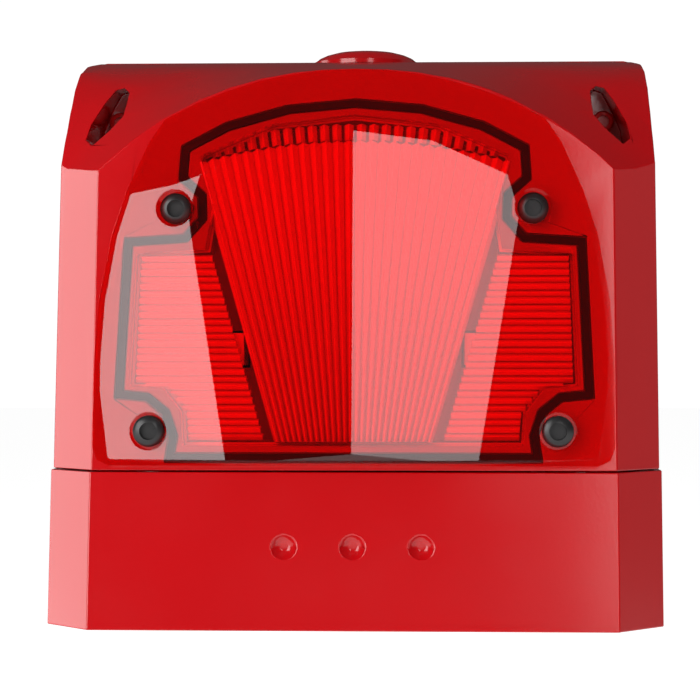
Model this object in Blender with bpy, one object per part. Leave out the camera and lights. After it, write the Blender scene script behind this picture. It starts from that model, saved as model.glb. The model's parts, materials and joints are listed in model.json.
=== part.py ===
"""Wall-mounted alarm siren with a flashing beacon.

A wiring base stays on the wall. The front, with the horn, its driver and the beacon, swings
down on a hinge pin once its two cover screws are undone.

Every size is in millimetres. A place is (x, out, up): x to the right, out from the wall and up
from the bottom of the body. place() turns it into Blender's metres, with the origin at the
centre of the wall face, -Y towards the front and +Z up.
"""

import math

import bmesh
import bpy
from mathutils import Vector

MM = 0.001

# Body
GAP = 0.3
BODY_WIDTH = 133.0
BODY_HEIGHT = 130.0
BASE_DEPTH = 30.0
FRONT_DEPTH = 104.0
LEAN = 0.149
CHAMFER_WIDTH = 10.0
CHAMFER_DEPTH = 11.0
SEAM_HEIGHT = 33.7
LOWER_PROUD = 0.5
WALL = 2.4
BASE_WALL = 3.4
CORNER_RADIUS = 3.5

# Roof: a gently falling centre line, and sides that fall away in a straight ramp
ROOF_CENTRE_SLOPE = 0.12
ROOF_CENTRE_CURVE = 0.0005
ROOF_RAMP_SLOPE = 1.06
ROOF_RAMP_START = (15.1, 90.5)
ROOF_EDGE_SLOPE = 0.16
ROOF_BLEND = 3.8
ROOF_POWER = 2.25
ROOF_STEEPNESS = 1.3

# Hinge along the lower rear edge of the front
HINGE_OUT = BASE_DEPTH
HINGE_UP = 4.0
BARREL_RADIUS = 4.0
PIN_RADIUS = 1.5
PIN_CLEARANCE = 0.4
PIN_OVERLAP = 5.0
EAR = (48.0, 53.0)
EAR_RADIUS = 3.4
EAR_CLEARANCE = 0.4
DAM = (8.8, 12.2)

# Cover screws and the shoulder pockets above them
COVER_SCREW = (56.5, 113.0)
COVER_SCREW_RADIUS = 1.7
COVER_SCREW_HEAD = (2.5, 2.2)
COVER_SCREW_CLEARANCE = 0.7
COVER_SCREW_ENGAGEMENT = 4.0
POCKET_FLOOR = 52.0
POCKET = ((53.0, 112.7), (55.6, 109.2), (59.3, 105.6), (61.2, 107.2), (60.6, 111.0), (58.2, 116.4),
          (56.2, 119.9), (54.4, 120.4), (52.9, 119.0))

# Lens on the leaning front face
LENS_FLANGE = 2.7
LENS_RIM = 1.4
LENS_WALL = 2.0
LENS_ARC_RADIUS = 83.4
LENS_ARC_CENTRE = 38.0
LENS_SIDE = ((0.0, 35.0), (52.3, 35.0), (55.0, 36.2), (56.0, 39.0), (56.0, 58.0), (55.2, 70.6),
             (52.7, 84.9), (49.6, 94.7), (45.1, 105.0))
LENS_TOP_STEPS = (41.5, 35.0, 28.0, 21.0, 14.0, 7.0, 0.0)
RIDGE_FOOT = (37.8, 9.8)
RIDGE_TOP = (107.0, 10.5)
CREASE_FOOT = (27.1, 37.8, 7.4)
CREASE_TOP = (35.6, 89.0, 7.17)
CREST = ((17.0, 104.8, 9.0), (33.3, 97.5, 7.45))
LENS_EDGE = (54.8, 60.0, 2.9)
LENS_SHOULDER = (43.4, 103.2, 6.1)
CREST_FOOT = ((8.0, 118.1), (29.0, 114.0))
LENS_SCREWS = ((38.75, 90.5), (43.8, 42.4))
LENS_SCREW_RADIUS = 1.6
LENS_SCREW_HEAD = (3.45, 2.3)
LENS_SCREW_LENGTH = 12.0
WELL_RADIUS = 4.1
WELL_FLOOR = 1.9
LENS_BOSS_RADIUS = 3.8
LENS_BOSS_DEPTH = 11.0

# Optics behind the lens, and the gasket around them
OPTIC = ((0.0, 39.4), (36.5, 39.4), (37.0, 46.6), (41.0, 51.6), (48.3, 52.1), (47.3, 80.6),
         (32.0, 81.6), (30.5, 91.6), (33.5, 102.1), (18.0, 108.9), (0.0, 110.9))
GASKET = ((0.0, 36.6), (39.6, 36.6), (38.9, 41.4), (40.6, 46.4), (44.6, 49.6), (50.8, 50.2),
          (49.4, 83.4), (37.0, 84.2), (33.2, 88.6), (33.4, 93.6), (37.6, 97.4), (37.2, 104.0),
          (28.0, 108.9), (14.5, 112.7), (0.0, 114.0))
GASKET_WIDTH = 1.6
GASKET_DEPTH = 1.0
REFLECTOR_DEPTH = 12.0
REFLECTOR_WALL = 1.6
REFLECTOR_GROWTH = 1.2
REFLECTOR_SCREW = (53.0, 66.0)
TUBE_UP = 60.0
TUBE_SETBACK = 6.5
TUBE_RADIUS = 2.0
TUBE_HALF_LENGTH = 29.0
BEACON_BOARD = ((-40.0, 40.0), (44.0, 100.0))
BOARD_THICKNESS = 1.6
BEACON_BOARD_SETBACK = 17.0
BEACON_BOARD_SCREWS = ((-30.0, 50.0), (24.0, 96.0))

# Horn and driver
DRIVER_OUT = 50.0
DRIVER_FOOT = 64.0
DRIVER_HEIGHT = 22.0
DRIVER_RADIUS = 17.0
DRIVER_FLANGE = 23.0
DRIVER_SCREW_CIRCLE = 20.0
HORN_WALL = 1.6
MOUTH_OUT = 70.0
MOUTH_HALF = (31.0, 20.0)
HORN_FLANGE_HALF = (41.0, 24.0)
HORN_SCREW = 37.0
GRILLE_BARS = 7
DIMPLE_PITCH = 14.7
DIMPLE_UP = 17.9
DIMPLE_RADIUS = 2.75
DIMPLE_DEPTH = 1.6
HORN_COVER_SCREWS = ((57.0, 45.0), (54.0, 84.0))

# Wiring base
ENTRY_OUT = 15.0
ENTRY_RADIUS = 9.8
ENTRY_CLEARANCE = 0.4
PLUG_HEAD = 13.3
PLUG_RISE = 4.5
BOARD_FACE = 12.0
BOARD_HALF_WIDTH = 48.0
BOARD_UP = (26.0, 98.0)
BOARD_SCREWS = ((-43.0, 93.0), (43.0, 31.0))
BOARD_PEGS = ((43.0, 93.0), (-43.0, 31.0))
PEG_RADIUS = 1.5
WALL_HOLES = ((-56.0, 24.0), (56.0, 24.0), (-30.0, 112.0), (30.0, 112.0))
WALL_HOLE_RADIUS = 2.5
TERMINAL_WAYS = 4
TERMINAL_PITCH = 5.0
DIP_WAYS = 5
DIP_PITCH = 2.54
DIP_TRAVEL = 1.8
SMALL_SCREW = 1.2
SMALL_SCREW_HEAD = 2.5
SCREW_CLEARANCE = 0.4


def place(x, out, up):
    """Blender's point, in metres, for a place on the body."""
    return Vector((x, -out, up - BODY_HEIGHT / 2)) * MM


def material(name, colour, roughness, metallic=0.0):
    made = bpy.data.materials.new(name)
    made.use_nodes = True
    shader = made.node_tree.nodes["Principled BSDF"]
    shader.inputs["Base Color"].default_value = (*colour, 1.0)
    shader.inputs["Roughness"].default_value = roughness
    shader.inputs["Metallic"].default_value = metallic
    return made


# Solids -------------------------------------------------------------------------------------

def add_object(name, mesh, look):
    data = bpy.data.meshes.new(name)
    mesh.to_mesh(data)
    mesh.free()
    data.materials.append(look)
    made = bpy.data.objects.new(name, data)
    bpy.context.collection.objects.link(made)
    return made


def skin(rows, closed):
    """A closed mesh through rows of equal point count: capped at both ends, or a ring."""
    mesh = bmesh.new()
    made = [[mesh.verts.new(place(*point)) for point in row] for row in rows]
    pairs = list(zip(made, made[1:] + made[:1]))
    if not closed:
        pairs.pop()
        mesh.faces.new(made[0])
        mesh.faces.new(made[-1])
    for row, following in pairs:
        for index in range(len(row)):
            mesh.faces.new((row[index - 1], row[index], following[index], following[index - 1]))
    bmesh.ops.recalc_face_normals(mesh, faces=mesh.faces)
    bmesh.ops.connect_verts_nonplanar(mesh, angle_limit=math.radians(0.05), faces=mesh.faces)
    return mesh


def solid(name, look, rows, closed=False):
    return add_object(name, skin(rows, closed), look)


def box(name, look, x, out, up):
    """A block between two values on each axis."""
    corners = [(x[0], out[0]), (x[1], out[0]), (x[1], out[1]), (x[0], out[1])]
    return solid(name, look, [[(a, b, height) for a, b in corners] for height in up])


def ring_points(centre, axis, radius, along, sides):
    """Points of a circle round an axis through a centre, at a place along that axis."""
    x, out, up = centre
    points = []
    for step in range(sides):
        angle = 2 * math.pi * (step + 0.5) / sides
        a, b = radius * math.cos(angle), radius * math.sin(angle)
        if axis == "x":
            points.append((along, out + a, up + b))
        elif axis == "out":
            points.append((x + a, along, up + b))
        else:
            points.append((x + a, out + b, along))
    return points


def turned(name, look, centre, axis, profile, sides=24, closed=False):
    """A turned solid. The profile is a row of (along, radius)."""
    rows = [ring_points(centre, axis, radius, along, sides) for along, radius in profile]
    return solid(name, look, rows, closed)


def rod(name, look, centre, axis, radius, reach, sides=16):
    return turned(name, look, centre, axis, [(reach[0], radius), (reach[1], radius)], sides)


def combine(target, operation, *tools):
    """Apply Boolean steps to the target and drop the tools."""
    for tool in tools:
        modifier = target.modifiers.new(operation, "BOOLEAN")
        modifier.operation = operation
        modifier.object = tool
        bpy.context.view_layer.objects.active = target
        bpy.ops.object.modifier_apply(modifier=modifier.name)
        bpy.data.objects.remove(tool)
    return target


def move_origin(target, x, out, up):
    """Put an object's origin on its joint's axis."""
    spot = place(x, out, up)
    for vertex in target.data.vertices:
        vertex.co -= spot
    target.location = spot
    return target


# Outlines -----------------------------------------------------------------------------------

def mirrored(half):
    """A whole outline from the right half, both in (x, up) from the bottom centre to the top."""
    return list(half) + [(-x, up) for x, up in reversed(half) if x > 0]


def offset(loop, distance):
    """An outline moved inwards by a distance, or outwards where it is negative."""
    moved = []
    for index, (x, up) in enumerate(loop):
        before = Vector(loop[index - 1])
        after = Vector(loop[(index + 1) % len(loop)])
        here = Vector((x, up))
        first = (here - before).normalized()
        second = (after - here).normalized()
        normal_a = Vector((-first.y, first.x))
        normal_b = Vector((-second.y, second.x))
        mitre = (normal_a + normal_b) / (1 + normal_a.dot(normal_b))
        moved.append(tuple(here + mitre * distance))
    return moved


def front_face(up):
    """Distance of the leaning front face from the wall."""
    return FRONT_DEPTH - LEAN * up


def on_front(loop, proud):
    """An (x, up) outline laid on the front face, or a distance proud of it."""
    return [(x, front_face(up) + proud, up) for x, up in loop]


def along_depth(loop, out):
    return [(x, out, up) for x, up in loop]


def housing_outline(up, inset, back):
    """Plan of the body at one height: flat sides, chamfers and the front face."""
    half = BODY_WIDTH / 2 - inset
    face = front_face(up)
    slant = math.hypot(CHAMFER_WIDTH, CHAMFER_DEPTH)
    corner = BODY_WIDTH / 2 - CHAMFER_WIDTH - inset * (slant - CHAMFER_WIDTH) / CHAMFER_DEPTH
    shoulder = face - CHAMFER_DEPTH - inset * (slant - CHAMFER_DEPTH) / CHAMFER_WIDTH
    face -= inset
    right = [(half, back), (half, shoulder), (corner, face)]
    return [(x, out, up) for x, out in right + [(-x, out) for x, out in reversed(right)]]


def housing_block(name, look, up, inset, back):
    return solid(name, look, [housing_outline(height, inset, back) for height in up])


def rounded_box(half_width, low, high, radius):
    """Outline with square lower and rounded upper corners."""
    right = [(half_width, low)]
    for step in range(5):
        angle = math.pi / 8 * step
        right.append((half_width - radius + radius * math.cos(angle),
                      high - radius + radius * math.sin(angle)))
    return right + [(-x, up) for x, up in reversed(right)]


def roof_height(x, setback):
    """Height of the hood's roof, from the place across and the distance behind the front edge."""
    behind = FRONT_DEPTH - BASE_DEPTH - setback
    centre = BODY_HEIGHT - ROOF_CENTRE_SLOPE * behind - ROOF_CENTRE_CURVE * behind ** 2
    ramp = ROOF_RAMP_START[1] + ROOF_RAMP_SLOPE * (setback - ROOF_RAMP_START[0])
    edge = BODY_HEIGHT + 0.5 - ROOF_EDGE_SLOPE * behind
    side = (ramp + edge) / 2 - math.hypot((ramp - edge) / 2, ROOF_BLEND)
    return centre - (centre - side) * abs(x / (BODY_WIDTH / 2)) ** ROOF_POWER


def roof_block(name, look, drop, back):
    """Everything under the roof, with the roof lowered by a drop."""
    half = BODY_WIDTH / 2 + 2
    across = [half * step / 10 for step in range(-10, 11)]
    setbacks = [0, 6, 11, 16, 21, 27, 33, 39, 46, 54, 64, FRONT_DEPTH - back]
    rows = []
    for setback in setbacks:
        top = [(x, FRONT_DEPTH - setback, roof_height(x, setback) - drop) for x in across]
        foot = [(half, FRONT_DEPTH - setback, 0), (-half, FRONT_DEPTH - setback, 0)]
        rows.append(top + foot)
    return solid(name, look, rows)


# Wiring base --------------------------------------------------------------------------------

def base_shell(look):
    foot = LOWER_PROUD
    half = BODY_WIDTH / 2
    face = BASE_DEPTH - GAP / 2
    outline = rounded_box(half, foot, BODY_HEIGHT, CORNER_RADIUS)
    shell = solid("base_shell", look, [along_depth(outline, 0), along_depth(outline, face)])
    inner = half - BASE_WALL
    relief = HINGE_OUT - BARREL_RADIUS - GAP
    combine(shell, "DIFFERENCE",
            box("room", look, (-inner, inner), (BASE_WALL, 50), (DAM[1], BODY_HEIGHT - BASE_WALL)),
            box("channel", look, (-inner, inner), (BASE_WALL, 50), (foot + BASE_WALL, DAM[0])),
            box("relief", look, (-80, 80), (relief, 50), (-1, HINGE_UP + BARREL_RADIUS + GAP)))
    entry = (0, ENTRY_OUT, 0)
    ceiling = BODY_HEIGHT - BASE_WALL
    combine(shell, "UNION", rod("boss", look, entry, "up", ENTRY_RADIUS + 3.0,
                                (ceiling - 7, ceiling + 1), 32))
    combine(shell, "DIFFERENCE",
            rod("entry", look, entry, "up", ENTRY_RADIUS + ENTRY_CLEARANCE, (100, BODY_HEIGHT + 5), 32))
    for side in (-1, 1):
        screw = (side * COVER_SCREW[0], 0, COVER_SCREW[1])
        combine(shell, "UNION", rod("boss", look, screw, "out", 4.4, (BASE_WALL - 1, face)))
        bore = COVER_SCREW_RADIUS + COVER_SCREW_CLEARANCE
        combine(shell, "DIFFERENCE", rod("bore", look, screw, "out", bore, (15, 50)))
        ear = [side * place_x for place_x in EAR]
        combine(shell, "UNION",
                box("ear", look, sorted(ear), (BASE_WALL - 1, HINGE_OUT), (HINGE_UP, DAM[0] + 1)),
                rod("ear", look, (0, HINGE_OUT, HINGE_UP), "x", EAR_RADIUS, sorted(ear), 20))
        combine(shell, "DIFFERENCE",
                rod("bore", look, (0, HINGE_OUT, HINGE_UP), "x", PIN_RADIUS + PIN_CLEARANCE,
                    (ear[0] - side, ear[1] + side), 12))
    for x, up in BOARD_SCREWS + BOARD_PEGS:
        combine(shell, "UNION", rod("post", look, (x, 0, up), "out", 3.0,
                                    (BASE_WALL - 1, BOARD_FACE - GAP), 12))
    for x, up in BOARD_PEGS:
        combine(shell, "UNION", rod("peg", look, (x, 0, up), "out", PEG_RADIUS,
                                    (BOARD_FACE - 1, BOARD_FACE + 4), 12))
    for x, up in BOARD_SCREWS:
        combine(shell, "DIFFERENCE",
                rod("bore", look, (x, 0, up), "out", SMALL_SCREW + SCREW_CLEARANCE, (BASE_WALL + 1, 50),
                    12))
    for x, up in WALL_HOLES:
        combine(shell, "DIFFERENCE", rod("hole", look, (x, 0, up), "out", WALL_HOLE_RADIUS, (-5, 10), 12))
    middle = BASE_WALL / 2
    inside, outside = seal_loops(GAP)
    groove = solid("groove", look, [along_depth(outside, face - 1.3), along_depth(inside, face - 1.3),
                                    along_depth(inside, face + middle),
                                    along_depth(outside, face + middle)], True)
    return combine(shell, "DIFFERENCE", groove)


def seal_loops(growth):
    """Inner and outer outline of the seal between base and front, grown for its groove."""
    middle = BASE_WALL / 2
    half = BODY_WIDTH / 2 - middle
    low = (DAM[0] + DAM[1]) / 2
    centre = rounded_box(half, low, BODY_HEIGHT - middle, 2.4)
    return offset(centre, 0.6 + growth), offset(centre, -0.6 - growth)


def housing_seal(look):
    inside, outside = seal_loops(0)
    back, face = BASE_DEPTH - GAP / 2 - 1.0, BASE_DEPTH - GAP / 2
    return solid("housing_seal", look, [along_depth(outside, back), along_depth(inside, back),
                                        along_depth(inside, face), along_depth(outside, face)], True)


def hinge_pin(look):
    half = EAR[1] + PIN_OVERLAP
    return rod("hinge_pin", look, (0, HINGE_OUT, HINGE_UP), "x", PIN_RADIUS, (-half, half), 12)


def blanking_plug(look):
    seat = BODY_HEIGHT + GAP
    apex = BODY_HEIGHT + PLUG_RISE
    rim = seat + 1.3
    rise = apex - rim
    profile = [(BODY_HEIGHT - 9, ENTRY_RADIUS), (seat + 1.2, ENTRY_RADIUS), (seat + 1.2, PLUG_HEAD - 1),
               (seat, PLUG_HEAD - 1), (seat, PLUG_HEAD)]
    for share in (1.0, 0.8, 0.55, 0.25):
        profile.append((rim + rise * (1 - share ** 2), PLUG_HEAD * share))
    plug = turned("blanking_plug", look, (0, ENTRY_OUT, 0), "up", profile, 32)
    return move_origin(plug, 0, ENTRY_OUT, BODY_HEIGHT)


def plug_seal(look):
    low, high = BODY_HEIGHT + GAP, BODY_HEIGHT + 1.2
    inner, outer = ENTRY_RADIUS + 0.6, PLUG_HEAD - 1.4
    profile = [(low, inner), (high, inner), (high, outer), (low, outer)]
    return turned("plug_seal", look, (0, ENTRY_OUT, 0), "up", profile, 32, True)


def pan_screws(name, look, centres, axis, seats, length, radius, head, sides=12):
    """Numbered pan-head screws along an axis. Each head starts at its seat, and its shank goes back
    from there, or forwards where the length is negative."""
    for number, (centre, seat) in enumerate(zip(centres, seats), 1):
        rise = math.copysign(head[1], length)
        profile = [(seat - length, radius), (seat, radius), (seat, head[0]), (seat + rise, head[0] * 0.8)]
        turned(f"{name}_{number}", look, centre, axis, profile, sides)


def main_board(look):
    out = (BOARD_FACE, BOARD_FACE + BOARD_THICKNESS)
    board = box("main_board", look, (-BOARD_HALF_WIDTH, BOARD_HALF_WIDTH), out, BOARD_UP)
    for x, up in BOARD_SCREWS + BOARD_PEGS:
        combine(board, "DIFFERENCE", rod("hole", look, (x, 0, up), "out", PEG_RADIUS + SCREW_CLEARANCE,
                                         (0, 50), 12))
    return board


def board_parts(looks):
    """What stands on the main board, in front of its face."""
    face = BOARD_FACE + BOARD_THICKNESS + GAP
    length = TERMINAL_WAYS * TERMINAL_PITCH
    up = BOARD_UP[0] + 4
    block = box("terminal_block", looks["green"], (-length / 2, length / 2), (face, face + 10),
                (up, up + 9))
    for way in range(TERMINAL_WAYS):
        x = (way - (TERMINAL_WAYS - 1) / 2) * TERMINAL_PITCH
        combine(block, "DIFFERENCE",
                rod("well", looks["green"], (x, 0, up + 6), "out", 1.9, (face + 4, face + 20), 12),
                box("port", looks["green"], (x - 1.5, x + 1.5), (face + 1, face + 3.2), (up - 1, up + 6)))
        rod(f"terminal_screw_{way + 1}", looks["steel"], (x, 0, up + 6), "out", 1.5,
            (face + 4 + GAP, face + 9), 12)

    low = 60.0
    span = DIP_WAYS * DIP_PITCH
    left = -34.0
    body = box("dip_switch_body", looks["blue"], (left, left + span), (face, face + 4.4), (low, low + 8))
    for way in range(DIP_WAYS):
        x = left + (way + 0.5) * DIP_PITCH
        start = low + 2.2
        combine(body, "DIFFERENCE",
                box("slot", looks["blue"], (x - 0.9, x + 0.9), (face + 2.4, face + 9),
                    (start - GAP, start + 1.4 + DIP_TRAVEL + GAP)))
        slider = box(f"dip_slider_{way + 1}", looks["white"], (x - 0.6, x + 0.6),
                     (face + 2.4 + GAP, face + 5.2), (start, start + 1.4))
        move_origin(slider, x, face + 4, start + 0.7)

    x, up = 20.0, 64.0
    trimmer = box("trimmer_body", looks["blue"], (x - 4, x + 4), (face, face + 4.5), (up - 4, up + 4))
    combine(trimmer, "DIFFERENCE", rod("well", looks["blue"], (x, 0, up), "out", 3.2,
                                       (face + 1.6, face + 9), 20))
    rotor = rod("trimmer_rotor", looks["white"], (x, 0, up), "out", 2.8, (face + 1.6 + GAP, face + 5), 20)
    combine(rotor, "DIFFERENCE",
            box("slot", looks["white"], (x - 0.4, x + 0.4), (face + 3.8, face + 9), (up - 4, up + 1.6)))
    move_origin(rotor, x, face + 4, up)

    socket = box("lead_socket", looks["white"], (-8, 8), (face, face + 7), (80, 87))
    combine(socket, "DIFFERENCE", box("mouth", looks["white"], (-6.8, 6.8), (face + 2, face + 9),
                                      (81.2, 85.8)))
    turned("smoothing_capacitor", looks["black"], (34, 0, 52), "out",
           [(face, 4.6), (face + 1, 5.0), (face + 11.4, 5.0), (face + 12, 4.6)], 20)


# Front housing ------------------------------------------------------------------------------

def hood_envelope(name, look, inset, foot, back):
    """The hood as a full body, with its faces moved in by an inset."""
    block = housing_block(name, look, (foot, BODY_HEIGHT + 6), inset, back)
    outline = rounded_box(BODY_WIDTH / 2 + 1, 0, BODY_HEIGHT - inset, CORNER_RADIUS + 1)
    section = solid("section", look, [along_depth(outline, back - 7),
                                      along_depth(outline, FRONT_DEPTH + 5)])
    return combine(block, "INTERSECT", roof_block("roof", look, ROOF_STEEPNESS * inset, back - 9), section)


def front_hood(look):
    back = BASE_DEPTH + GAP / 2
    foot = SEAM_HEIGHT + GAP / 2
    hood = hood_envelope("front_hood", look, 0, foot, back)
    combine(hood, "DIFFERENCE", hood_envelope("inner", look, WALL, foot - 5, back - 5))
    lip = housing_block("lip", look, (foot, foot + WALL), 1.0, back)
    combine(lip, "DIFFERENCE", box("opening", look, (-44, 44), (0, 90), (0, 60)))
    combine(hood, "UNION", lip)

    def core(member):
        return combine(member, "INTERSECT", hood_envelope("core", look, WALL / 3, foot + WALL / 3,
                                                          back - 0.01))

    for side in (-1, 1):
        leaf = [(side * x, up) for x, up in POCKET]
        if side < 0:
            leaf.reverse()
        sleeve = offset(leaf, -1.8)
        screw = (side * COVER_SCREW[0], 0, COVER_SCREW[1])
        combine(hood, "UNION",
                core(solid("sleeve", look, [along_depth(sleeve, POCKET_FLOOR - 2.4),
                                            along_depth(sleeve, FRONT_DEPTH)])),
                core(rod("boss", look, screw, "out", 4.4, (back, POCKET_FLOOR - 1))),
                rod("boss", look, (side * REFLECTOR_SCREW[0], 0, REFLECTOR_SCREW[1]), "out", 3.2,
                    (front_face(REFLECTOR_SCREW[1]) - 6.7, front_face(REFLECTOR_SCREW[1]) - 1), 12))
        for x, up in LENS_SCREWS:
            combine(hood, "UNION",
                    rod("boss", look, (side * x, 0, up), "out", LENS_BOSS_RADIUS,
                        (front_face(up) - LENS_BOSS_DEPTH, front_face(up) - 1)))
    for side in (-1, 1):
        leaf = [(side * x, up) for x, up in POCKET]
        screw = (side * COVER_SCREW[0], 0, COVER_SCREW[1])
        bore = COVER_SCREW_RADIUS + COVER_SCREW_CLEARANCE
        up = REFLECTOR_SCREW[1]
        combine(hood, "DIFFERENCE",
                solid("pocket", look, [along_depth(leaf, POCKET_FLOOR),
                                       along_depth(leaf, FRONT_DEPTH + 9)]),
                rod("bore", look, screw, "out", bore, (0, POCKET_FLOOR + 1)),
                rod("bore", look, (side * REFLECTOR_SCREW[0], 0, up), "out", SMALL_SCREW + SCREW_CLEARANCE,
                    (front_face(up) - 20, front_face(up) - 2), 12))
        for x, up in LENS_SCREWS:
            combine(hood, "DIFFERENCE",
                    rod("bore", look, (side * x, 0, up), "out", LENS_SCREW_RADIUS + SCREW_CLEARANCE,
                        (front_face(up) - LENS_SCREW_LENGTH + 1.2, front_face(up) + 5), 12))
        for x, out in HORN_COVER_SCREWS:
            combine(hood, "DIFFERENCE",
                    rod("bore", look, (side * x, out, 0), "up", 1.5 + SCREW_CLEARANCE, (0, 60), 12))
    window = mirrored(OPTIC)
    combine(hood, "DIFFERENCE", solid("window", look, [on_front(window, -8), on_front(window, 8)]))
    inside, outside = gasket_loops(GAP)
    groove = solid("groove", look, [on_front(outside, -GASKET_DEPTH - GAP),
                                    on_front(inside, -GASKET_DEPTH - GAP),
                                    on_front(inside, 3), on_front(outside, 3)], True)
    return combine(hood, "DIFFERENCE", groove)


def gasket_loops(growth):
    centre = mirrored(GASKET)
    return offset(centre, GASKET_WIDTH / 2 + growth), offset(centre, -GASKET_WIDTH / 2 - growth)


def lens_gasket(look):
    inside, outside = gasket_loops(0)
    return solid("lens_gasket", look, [on_front(outside, -GASKET_DEPTH), on_front(inside, -GASKET_DEPTH),
                                       on_front(inside, 0), on_front(outside, 0)], True)


def lens_outline():
    arc = [(x, LENS_ARC_CENTRE + math.sqrt(LENS_ARC_RADIUS ** 2 - x ** 2)) for x in LENS_TOP_STEPS]
    return mirrored(list(LENS_SIDE) + arc)


def lens_facets():
    """The dome's flat facets, each as three points (x, up, proud) on it."""
    ridge_foot = (0.0, *RIDGE_FOOT)
    ridge_top = (0.0, *RIDGE_TOP)
    right = [(ridge_foot, ridge_top, CREASE_FOOT),
             (CREASE_FOOT, CREASE_TOP, LENS_EDGE),
             (ridge_top, CREST[0], (*CREST_FOOT[0], LENS_FLANGE)),
             (CREST[0], CREST[1], (*CREST_FOOT[1], LENS_FLANGE)),
             (CREST[1], CREASE_TOP, LENS_SHOULDER)]
    left = [tuple((-x, up, proud) for x, up, proud in facet) for facet in right]
    bevel = (ridge_foot, (20.0, *RIDGE_FOOT), (0.0, RIDGE_FOOT[0] - 2.8, RIDGE_FOOT[1] - 2.8))
    return right + left + [bevel]


def dome(name, look, outline, foot, drop):
    """A prism on the front face, cut by every facet, with the facets moved in by a drop."""
    mesh = skin([on_front(outline, foot), on_front(outline, 25)], False)
    heart = place(0, front_face(70) + foot, 70)
    for facet in lens_facets():
        points = [place(x, front_face(up) + proud - drop, up) for x, up, proud in facet]
        normal = (points[1] - points[0]).cross(points[2] - points[0]).normalized()
        if normal.dot(heart - points[0]) > 0:
            normal = -normal
        everything = mesh.verts[:] + mesh.edges[:] + mesh.faces[:]
        cut = bmesh.ops.bisect_plane(mesh, geom=everything, dist=1e-8, plane_co=points[0], plane_no=normal,
                                     clear_outer=True)
        rim = [edge for edge in cut["geom_cut"] if isinstance(edge, bmesh.types.BMEdge)]
        if rim:
            bmesh.ops.edgeloop_fill(mesh, edges=rim)
    bmesh.ops.recalc_face_normals(mesh, faces=mesh.faces)
    return add_object(name, mesh, look)


def lens(look):
    outline = lens_outline()
    shell = solid("lens", look, [on_front(outline, GAP), on_front(outline, LENS_FLANGE)])
    combine(shell, "UNION", dome("dome", look, offset(outline, LENS_RIM), GAP + 0.5, 0))
    combine(shell, "DIFFERENCE", dome("hollow", look, mirrored(OPTIC), -2, LENS_WALL))
    for side in (-1, 1):
        for x, up in LENS_SCREWS:
            combine(shell, "DIFFERENCE",
                    rod("well", look, (side * x, 0, up), "out", WELL_RADIUS,
                        (front_face(up) + WELL_FLOOR, front_face(up) + 30), 20),
                    rod("hole", look, (side * x, 0, up), "out", LENS_SCREW_RADIUS + SCREW_CLEARANCE,
                        (front_face(up) - 5, front_face(up) + 9), 12))
    return shell


def lens_screws(look):
    centres = [(side * x, 0, up) for side in (-1, 1) for x, up in LENS_SCREWS]
    seats = [front_face(up) + WELL_FLOOR + GAP for _, _, up in centres]
    pan_screws("lens_screw", look, centres, "out", seats, LENS_SCREW_LENGTH, LENS_SCREW_RADIUS,
               LENS_SCREW_HEAD, 16)


def cover_screw(name, look, side):
    seat = POCKET_FLOOR + GAP
    head, rise = COVER_SCREW_HEAD
    profile = [(BASE_DEPTH - COVER_SCREW_ENGAGEMENT, COVER_SCREW_RADIUS), (seat, COVER_SCREW_RADIUS),
               (seat, head),
               (seat + rise * 0.6, head), (seat + rise, head * 0.75)]
    made = turned(name, look, (side * COVER_SCREW[0], 0, COVER_SCREW[1]), "out", profile, 20)
    return move_origin(made, side * COVER_SCREW[0], BASE_DEPTH, COVER_SCREW[1])


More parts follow.
